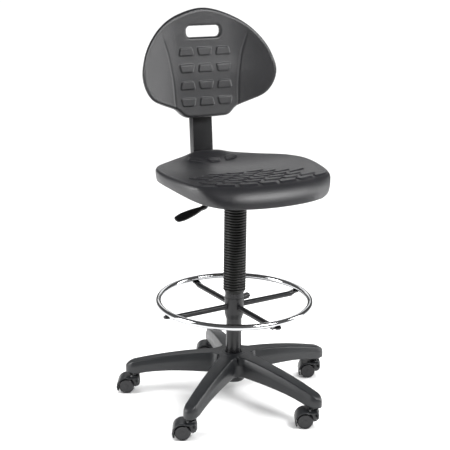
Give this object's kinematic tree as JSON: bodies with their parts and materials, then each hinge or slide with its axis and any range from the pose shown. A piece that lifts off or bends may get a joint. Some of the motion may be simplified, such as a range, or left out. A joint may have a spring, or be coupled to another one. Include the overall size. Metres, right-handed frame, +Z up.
{
  "type": "drafting chair",
  "caption": "Armless drafting chair: dished seat, winged back with a hand slot, gas-lift column in a pleated sleeve, sliding foot ring, star base on twin-wheel casters.",
  "frame": {"origin": "on the column's axis at floor level, where the casters stand", "axes": "+Z up along the column; -Y is the way the sitter faces; +X is to the sitter's left"},
  "size_m": [0.6912, 0.6914, 1.2359],
  "materials": {
    "polyurethane": "self-skinned polyurethane foam, charcoal black, fine leather grain, soft sheen",
    "nylon": "glass-filled nylon, charcoal, fine moulded texture",
    "wheel_nylon": "smooth black nylon",
    "black_paint": "semi-gloss black powder coat",
    "black_plastic": "black moulded plastic, satin",
    "bellows_rubber": "soft black rubber with a dull sheen",
    "rubber": "black rubber",
    "chrome": "bright chrome plate",
    "steel": "zinc-plated or ground steel",
    "board": "plywood with a black stain"
  },
  "bodies": {
    "base": {"star_base": "nylon", "hub_ring": "black_paint", "column_tube": "black_paint", "guide_bush": "black_plastic", "thrust_bearing": "steel", "caster_stems": "steel", "dust_bellows": "bellows_rubber"},
    "lift_rod": {"piston_rod": "steel", "retaining_clip": "steel", "rubber_buffer": "rubber"},
    "seat": {"pressure_cylinder": "black_paint", "taper_socket": "black_paint", "mechanism_housing": "black_paint", "seat_plate": "black_paint", "bar_guide": "black_paint", "lever_pin": "steel", "seat_bolts": "steel", "seat_board": "board", "seat_cushion": "polyurethane"},
    "button": {"release_button": "steel"},
    "lever": {"lever_rod": "black_paint", "lever_grip": "black_plastic"},
    "back_bar": {"back_bar": "black_paint", "upright_cover": "black_plastic"},
    "backrest": {"back_bracket": "black_paint", "back_screws": "steel", "back_board": "board", "back_cushion": "polyurethane"},
    "back_height_knob": {"back_height_knob": "black_plastic"},
    "back_depth_knob": {"back_depth_knob": "black_plastic"},
    "foot_ring": {"foot_ring": "chrome", "spoke_1": "black_paint", "spoke_2": "black_paint", "spoke_3": "black_paint", "spoke_4": "black_paint", "spoke_screws": "steel", "ring_collar": "black_plastic"},
    "ring_lock_knob": {"ring_lock_knob": "black_plastic"},
    "caster_1": {"caster_hood_1": "nylon", "caster_axle_1": "steel"},
    "wheel_left_1": {"caster_wheel_left_1": "wheel_nylon"},
    "wheel_right_1": {"caster_wheel_right_1": "wheel_nylon"},
    "caster_2": {"caster_hood_2": "nylon", "caster_axle_2": "steel"},
    "wheel_left_2": {"caster_wheel_left_2": "wheel_nylon"},
    "wheel_right_2": {"caster_wheel_right_2": "wheel_nylon"},
    "caster_3": {"caster_hood_3": "nylon", "caster_axle_3": "steel"},
    "wheel_left_3": {"caster_wheel_left_3": "wheel_nylon"},
    "wheel_right_3": {"caster_wheel_right_3": "wheel_nylon"},
    "caster_4": {"caster_hood_4": "nylon", "caster_axle_4": "steel"},
    "wheel_left_4": {"caster_wheel_left_4": "wheel_nylon"},
    "wheel_right_4": {"caster_wheel_right_4": "wheel_nylon"},
    "caster_5": {"caster_hood_5": "nylon", "caster_axle_5": "steel"},
    "wheel_left_5": {"caster_wheel_left_5": "wheel_nylon"},
    "wheel_right_5": {"caster_wheel_right_5": "wheel_nylon"}
  },
  "joints": [
    {"name": "seat_swivel", "type": "hinge", "parent": "base", "child": "lift_rod", "pos_m": [0, 0, 0.07], "axis": [0, 0, 1], "continuous": true},
    {"name": "seat_height", "type": "slide", "parent": "lift_rod", "child": "seat", "axis": [0, 0, 1], "range_m": [-0.2, 0], "deforming": ["dust_bellows"]},
    {"name": "lever_lift", "type": "hinge", "parent": "seat", "child": "lever", "pos_m": [-0.022, 0, 0.6963], "axis": [0, 1, 0], "range_deg": [0, 8], "stiffness_Nm_per_rad": 2},
    {"name": "button_press", "type": "slide", "parent": "seat", "child": "button", "axis": [0, 0, -1], "range_m": [0, 0.0038]},
    {"name": "back_depth", "type": "slide", "parent": "seat", "child": "back_bar", "axis": [0, 1, 0], "range_m": [0, 0.03]},
    {"name": "back_height", "type": "slide", "parent": "back_bar", "child": "backrest", "axis": [0, 0.1045, 0.9945], "range_m": [0, 0.05]},
    {"name": "back_height_knob_turn", "type": "hinge", "parent": "backrest", "child": "back_height_knob", "pos_m": [0, 0.29557, 0.96709], "axis": [0, 0.9945, -0.1045], "range_deg": [0, 270]},
    {"name": "back_depth_knob_turn", "type": "hinge", "parent": "seat", "child": "back_depth_knob", "pos_m": [0, 0.125, 0.68], "axis": [0, 0, -1], "range_deg": [0, 270]},
    {"name": "foot_ring_height", "type": "slide", "parent": "base", "child": "foot_ring", "axis": [0, 0, 1], "range_m": [-0.1, 0]},
    {"name": "ring_lock_knob_turn", "type": "hinge", "parent": "foot_ring", "child": "ring_lock_knob", "pos_m": [0, 0, 0.331], "axis": [0.9272, 0.3746, 0], "range_deg": [0, 270]},
    {"name": "caster_swivel_1", "type": "hinge", "parent": "base", "child": "caster_1", "pos_m": [0.32376, 0.02833, 0.045], "axis": [0, 0, 1], "continuous": true},
    {"name": "wheel_spin_left_1", "type": "hinge", "parent": "caster_1", "child": "wheel_left_1", "pos_m": [0.30129, 0.03929, 0.025], "axis": [-0.4384, -0.8988, 0], "continuous": true},
    {"name": "wheel_spin_right_1", "type": "hinge", "parent": "caster_1", "child": "wheel_right_1", "pos_m": [0.30129, 0.03929, 0.025], "axis": [-0.4384, -0.8988, 0], "continuous": true},
    {"name": "caster_swivel_2", "type": "hinge", "parent": "base", "child": "caster_2", "pos_m": [0.07311, 0.31667, 0.045], "axis": [0, 0, 1], "continuous": true},
    {"name": "wheel_spin_left_2", "type": "hinge", "parent": "caster_2", "child": "wheel_left_2", "pos_m": [0.05064, 0.32763, 0.025], "axis": [-0.4384, -0.8988, 0], "continuous": true},
    {"name": "wheel_spin_right_2", "type": "hinge", "parent": "caster_2", "child": "wheel_right_2", "pos_m": [0.05064, 0.32763, 0.025], "axis": [-0.4384, -0.8988, 0], "continuous": true},
    {"name": "caster_swivel_3", "type": "hinge", "parent": "base", "child": "caster_3", "pos_m": [-0.27858, 0.16739, 0.045], "axis": [0, 0, 1], "continuous": true},
    {"name": "wheel_spin_left_3", "type": "hinge", "parent": "caster_3", "child": "wheel_left_3", "pos_m": [-0.30105, 0.17835, 0.025], "axis": [-0.4384, -0.8988, 0], "continuous": true},
    {"name": "wheel_spin_right_3", "type": "hinge", "parent": "caster_3", "child": "wheel_right_3", "pos_m": [-0.30105, 0.17835, 0.025], "axis": [-0.4384, -0.8988, 0], "continuous": true},
    {"name": "caster_swivel_4", "type": "hinge", "parent": "base", "child": "caster_4", "pos_m": [-0.24528, -0.21322, 0.045], "axis": [0, 0, 1], "continuous": true},
    {"name": "wheel_spin_left_4", "type": "hinge", "parent": "caster_4", "child": "wheel_left_4", "pos_m": [-0.26775, -0.20226, 0.025], "axis": [-0.4384, -0.8988, 0], "continuous": true},
    {"name": "wheel_spin_right_4", "type": "hinge", "parent": "caster_4", "child": "wheel_right_4", "pos_m": [-0.26775, -0.20226, 0.025], "axis": [-0.4384, -0.8988, 0], "continuous": true},
    {"name": "caster_swivel_5", "type": "hinge", "parent": "base", "child": "caster_5", "pos_m": [0.12699, -0.29916, 0.045], "axis": [0, 0, 1], "continuous": true},
    {"name": "wheel_spin_left_5", "type": "hinge", "parent": "caster_5", "child": "wheel_left_5", "pos_m": [0.10452, -0.2882, 0.025], "axis": [-0.4384, -0.8988, 0], "continuous": true},
    {"name": "wheel_spin_right_5", "type": "hinge", "parent": "caster_5", "child": "wheel_right_5", "pos_m": [0.10452, -0.2882, 0.025], "axis": [-0.4384, -0.8988, 0], "continuous": true}
  ],
  "couplings": [
    {"joint": "button_press", "follows": "lever_lift", "m_per_rad": 0.027}
  ]
}
